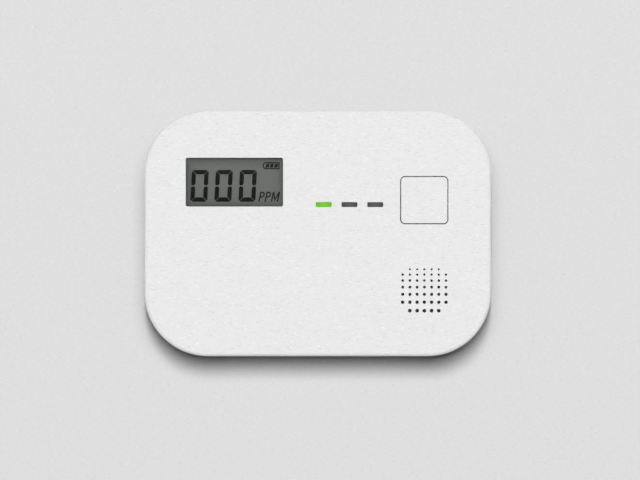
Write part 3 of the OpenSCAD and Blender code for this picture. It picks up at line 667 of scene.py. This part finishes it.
def add_turned(shape, profile, base, axis, sides=56, closed=False):
    """Spins a profile of (along, radius) points, in millimetres, about the axis through base."""
    side = axis.orthogonal().normalized()
    other = axis.cross(side)
    rings = []
    for along, radius in profile:
        centre = base + along * MM * axis
        if radius < 0.001:
            rings.append([shape.verts.new(centre)])
            continue
        ring = []
        for j in range(sides):
            a = math.tau * j / sides
            ring.append(shape.verts.new(centre + radius * MM * (math.cos(a) * side + math.sin(a) * other)))
        rings.append(ring)
    pairs = list(zip(rings, rings[1:]))
    if closed:
        pairs.append((rings[-1], rings[0]))
    for near, far in pairs:
        for j in range(sides):
            k = (j + 1) % sides
            corners = (near[j % len(near)], near[k % len(near)], far[k % len(far)], far[j % len(far)])
            shape.faces.new(list(dict.fromkeys(corners)))


def cell(node, side):
    """A dry cell: a crimped can with a recessed ring at each end and a nub towards side."""
    low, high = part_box(node)
    length = (high.x - low.x) / MM
    r = (high.z - low.z) / 2 / MM
    body = length - 1.4
    nub = 2.6
    minus_end = [(0, 0), (0, 4.7), (0.35, 5.0), (0.35, r - 0.85), (0.1, r - 0.6), (0.9, r)]
    plus_end = [
        (body - 0.9, r), (body - 0.15, r - 0.8), (body - 0.55, r - 1.5), (body - 0.55, 4.1),
        (body - 0.05, 3.6), (body, nub + 0.15), (length, nub), (length, 0),
    ]
    start = (low + high) / 2
    start.x = low.x if side > 0 else high.x
    turned = softened(minus_end + plus_end, 0.3)
    mesh = mesh_from(node, lambda shape: add_turned(shape, turned, start, side * RIGHT), smooth=True)
    piece("turned_" + node, mesh, "unit", "cell_metal", "cell_metal", node)


def cell_sleeve(node):
    """A shrink sleeve, drawn in over the can's shoulder at each end."""
    low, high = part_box(node)
    length = (high.x - low.x) / MM
    r = (high.z - low.z) / 2 / MM
    lap = 0.2
    bore = r - 0.12
    outer = [(-lap, r - 1.0), (-lap, r - 0.55), (0.45, r), (length - 0.45, r), (length + lap, r - 0.55)]
    inner = [(length + lap, r - 1.0), (length - 0.5, bore), (0.5, bore)]
    start = (low + high) / 2
    start.x = low.x
    turned = softened(outer + inner, 0.25)
    mesh = mesh_from(node, lambda shape: add_turned(shape, turned, start, RIGHT, closed=True), smooth=True)
    piece("shrunk_" + node, mesh, "unit", "cell_sleeve", "cell_sleeve", node)


def capacitors():
    """Two capacitors in sleeves, each with a crimped groove near the board, and their bare scored tops."""
    low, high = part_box("capacitors")
    reach = (high.x - low.x) / 2
    r = 3.12
    groove = 1.5
    rim = 7.9
    can = [
        (0, 0), (0, 2.75), (0.25, 3.1), (groove - 0.4, r), (groove, r - 0.32), (groove + 0.4, r),
        (rim - 0.4, r), (rim, 2.75), (rim + 0.02, 2.35), (rim - 0.15, 2.3), (rim - 0.15, 0),
    ]
    top = [(rim - 0.14, 0), (rim - 0.1, 2.25), (rim - 0.2, 2.28)]
    score = (1.9 * MM, 0.12 * MM)
    places = [Vector((low.x + reach, low.y, z)) for z in (low.z + reach, high.z - reach)]

    def cans(shape):
        for place in places:
            add_turned(shape, softened(can, 0.2), place, BACK)

    def tops(shape):
        for place in places:
            add_turned(shape, top, place, BACK)
            for x, z in (score, reversed(score)):
                ends = [(place.x + s * x, place.z + t * z) for s, t in SQUARE]
                add_plate(shape, ends, place.y + (rim - 0.13) * MM, 0.06 * MM)

    mesh = mesh_from("capacitors", cans, smooth=True)
    piece("turned_capacitors", mesh, "unit", "capacitor_can", "capacitor_can", "capacitors")
    piece("capacitor_tops", mesh_from("capacitor_tops", tops), "unit", "plated_steel", "capacitor_can")


def coil():
    """Enamelled wire wound in close turns, with the layers under it as one sleeve."""
    low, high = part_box("step_up_coil")
    base = (low + high) / 2
    base.y = low.y
    height = high.y - low.y
    wire = 0.28 * MM
    reach = (high.x - low.x) / 2 - wire
    steps = 36
    count = 10 * steps
    points = []
    for i in range(count + 1):
        a = math.tau * i / steps
        along = wire + (height - 2 * wire) * i / count
        points.append(base + Vector((reach * math.cos(a), along, reach * math.sin(a))))
    inner, outer = 2.15, reach / MM
    near, far = 0.1, height / MM - 0.1
    under = [(near, inner), (near, outer), (far, outer), (far, inner)]

    def winding(shape):
        add_tube(shape, points, wire, 8)
        add_turned(shape, under, base, BACK, closed=True)

    mesh = mesh_from("step_up_coil", winding, smooth=True)
    piece("wound_coil", mesh, "unit", "copper_winding", "copper_winding", "step_up_coil")


def coil_core():
    """The coil's ferrite bobbin, with a flange at each end."""
    low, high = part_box("coil_core")
    base = (low + high) / 2
    base.y = low.y
    flange = (high.x - low.x) / 2 / MM
    far = (high.y - low.y) / MM
    waist = 2
    near_flange = [
        (0, 0), (0, flange - 0.3), (0.3, flange), (2.2, flange), (2.46, flange - 0.25), (2.46, waist),
    ]
    far_flange = [
        (far - 1.48, waist), (far - 1.48, flange - 0.25), (far - 1.25, flange), (far - 0.3, flange),
        (far, flange - 0.3), (far, 0),
    ]
    bobbin = softened(near_flange + far_flange, 0.15)
    mesh = mesh_from("coil_core", lambda shape: add_turned(shape, bobbin, base, BACK), smooth=True)
    piece("turned_coil_core", mesh, "unit", "ferrite", "ferrite", "coil_core")


def sensor_can():
    """The gas sensor's drawn steel can, with rolled edges and an inlet in its end."""
    low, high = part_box("sensor_can")
    base = (low + high) / 2
    base.y = low.y
    foot = (high.x - low.x) / 2 / MM
    can = foot - 0.6
    end = (high.y - low.y) / MM
    dish, inlet = 3, 1.2
    profile = [
        (0, 0), (0, foot), (2, foot), (2.25, can), (end, can), (end, dish), (end - 0.55, dish),
        (end - 0.55, inlet), (end - 2.9, inlet), (end - 2.9, 0),
    ]
    drawn = softened(profile, 0.5)
    mesh = mesh_from("sensor_can", lambda shape: add_turned(shape, drawn, base, BACK), smooth=True)
    piece("drawn_sensor_can", mesh, "unit", "sensor_metal", "sensor_metal", "sensor_can")


def contact_spring(node, from_plate):
    """A conical spring along X with closed turns at its ends; from_plate is 1 if its wide end is at -X."""
    low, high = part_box(node)
    wire = 0.4 * MM
    wide = 4.2 * MM
    narrow = 2.9 * MM
    centre = (low + high) / 2
    start = low.x if from_plate > 0 else high.x
    length = high.x - low.x - 2 * wire
    turns = 5.5
    closed = 0.75
    steps = int(turns * 40)
    points = []
    for i in range(steps + 1):
        t = i / steps
        rise = min(1.0, max(0.0, (t * turns - closed) / (turns - 2 * closed)))
        a = math.tau * turns * t
        r = wide + (narrow - wide) * rise
        along = start + from_plate * (wire + length * rise)
        points.append(Vector((along, centre.y + r * math.cos(a), centre.z + r * math.sin(a))))
    mesh = mesh_from(node, lambda shape: add_tube(shape, points, wire), smooth=True)
    piece("smooth_" + node, mesh, "unit", "plated_steel", "plated_steel", node)


def buzzer_wire(node, look):
    """An insulated wire bowed from the piezo disc to the board."""
    low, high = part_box(node)
    radius = 0.4 * MM
    reach = 5 * MM
    bow = 0.9 * MM
    z = (low.z + high.z) / 2
    steps = 28
    points = []
    for i in range(steps + 1):
        t = i / steps
        x = low.x + 0.06 * MM + reach * t + bow * math.sin(math.pi * t)
        y = low.y + radius + (high.y - low.y - 2 * radius) * t * t
        points.append(Vector((x, y, z)))
    mesh = mesh_from(node, lambda shape: add_tube(shape, points, radius * 0.95), smooth=True)
    piece("smooth_" + node, mesh, "unit", look, look, node)


# ---- Studio ----


def one_sided(look):
    """Hides a stage surface from behind, so that views from behind see the alarm's back."""
    behind = look.add("ShaderNodeNewGeometry").outputs["Backfacing"]
    look.surface(behind, look.add("ShaderNodeBsdfTransparent").outputs[0])


def plaster(name, colour):
    """Smooth painted plaster with a faint roller texture."""
    look = Look(name, colour, 0.85)
    clouds = look.spread(look.noise(1.5 * MM, 5), 0.34, 0.66)
    look.paint("Base Color", look.flecks(look.mottle(clouds, 0.012)))
    look.relief(look.noise(1.4 * MM, 4), 0.04 * MM)
    look.relief(look.noise(6 * MM, 2), 0.08 * MM, 0.5)
    return look


def stage_sheet(name, look, size, place, facing):
    """A square sheet of the stage, facing along the vector facing."""
    mesh = bpy.data.meshes.new(name)
    turn = facing.to_track_quat("Z", "Y").to_matrix()
    corners = [turn @ Vector((x * size / 2, y * size / 2, 0)) for x, y in SQUARE]
    mesh.from_pydata(corners, [], [(0, 1, 2, 3)])
    sheet = bpy.data.objects.new(name, mesh)
    sheet.location = place
    bpy.context.scene.collection.objects.link(sheet)
    mesh.materials.append(look.material)
    sheet.visible_shadow = False
    return sheet


def soft_light(name, place, width, height, power, mirrored=True):
    """An oval light that faces the alarm; mirrored says if shiny and clear parts show it."""
    lamp = bpy.data.lights.new(name, "AREA")
    lamp.shape = "ELLIPSE"
    lamp.size = width
    lamp.size_y = height
    lamp.energy = power
    light = bpy.data.objects.new(name, lamp)
    light.location = place
    light.rotation_euler = (-Vector(place)).to_track_quat("-Z", "Y").to_euler()
    light.visible_camera = False
    light.visible_glossy = mirrored
    light.visible_transmission = mirrored
    bpy.context.scene.collection.objects.link(light)


def studio():
    """A pale wall behind the alarm, a pale floor below it, soft lights and the air round them."""
    wall_look = plaster("wall_plaster", srgb(222, 222, 222))
    one_sided(wall_look)
    wall_size = 1.1
    behind_bracket = 0.2 * MM
    stage_sheet("wall", wall_look, wall_size, (0, behind_bracket, 0), FORWARD)
    floor_colour = srgb(222, 222, 221)
    floor_look = plaster("floor_paint", floor_colour)
    floor_look.shader.inputs["Emission Color"].default_value = (*floor_colour, 1)
    floor_look.shader.inputs["Emission Strength"].default_value = 0.85
    floor_size = 12.0
    floor_level = -1.0
    floor = stage_sheet("floor", floor_look, floor_size, (0, 0, floor_level), UP)
    floor.visible_diffuse = False
    floor.visible_glossy = False
    studio_lights()
    studio_air()


def studio_lights():
    """A tall key and a wide fill in front and above, with weak lights at the sides, on top and behind."""
    distance = 3.0
    rise = distance * math.tan(math.radians(7.2))
    height = 2 * distance * math.tan(math.radians(7.4))
    soft_light("key", (0, -distance, rise), 0.10, height, 49, mirrored=False)
    soft_light("fill", (0, -distance, rise), 0.84, height, 42, mirrored=False)
    for side in (-1, 1):
        soft_light("side_light", (side * 2.5, 0.7, 0.5), 1.2, 1.2, 10)
    soft_light("top_light", (0, 0.5, 3.0), 1.4, 1.4, 10)
    soft_light("back_light", (0.6, 2.8, 0.9), 1.4, 1.4, 46)


def studio_air():
    """Pale air where the camera looks past the stage, which lights the alarm only faintly."""
    world = bpy.data.worlds.new("studio_air")
    bpy.context.scene.world = world
    world.use_nodes = True
    tree = world.node_tree
    seen = tree.nodes["Background"]
    seen.inputs["Color"].default_value = (*srgb(222, 223, 224), 1)
    air = tree.nodes.new("ShaderNodeBackground")
    air.inputs["Color"].default_value = (1, 1, 1, 1)
    air.inputs["Strength"].default_value = 0.05
    mixed = tree.nodes.new("ShaderNodeMixShader")
    path = tree.nodes.new("ShaderNodeLightPath")
    tree.links.new(path.outputs["Is Camera Ray"], mixed.inputs[0])
    tree.links.new(air.outputs[0], mixed.inputs[1])
    tree.links.new(seen.outputs[0], mixed.inputs[2])
    tree.links.new(mixed.outputs[0], tree.nodes["World Output"].inputs["Surface"])
    bpy.context.scene.view_settings.view_transform = "Standard"


def camera():
    """A long lens, square on to the front face and 2.4 m from it."""
    lens = bpy.data.cameras.new("camera")
    lens.sensor_width = 36
    distance = 2.4
    view_width = 221.5 * MM
    lens.lens = lens.sensor_width * distance / view_width
    eye = bpy.data.objects.new("camera", lens)
    low, high = cad_box
    centre = (low + high) / 2
    aside = 0.78 * MM
    below = 2.26 * MM
    eye.location = (centre.x + aside, low.y - distance, centre.z - below)
    eye.rotation_euler = (math.radians(90), 0, 0)
    bpy.context.scene.collection.objects.link(eye)
    bpy.context.scene.camera = eye


dress_frame()
display_figures()
cell("upper_cell", 1)
cell("lower_cell", -1)
cell_sleeve("upper_cell_sleeve")
cell_sleeve("lower_cell_sleeve")
contact_spring("bridge_spring", 1)
contact_spring("negative_spring", -1)
capacitors()
coil()
coil_core()
sensor_can()
buzzer_wire("buzzer_wire_red", "red_insulation")
buzzer_wire("buzzer_wire_black", "black_rubber")
studio()
camera()
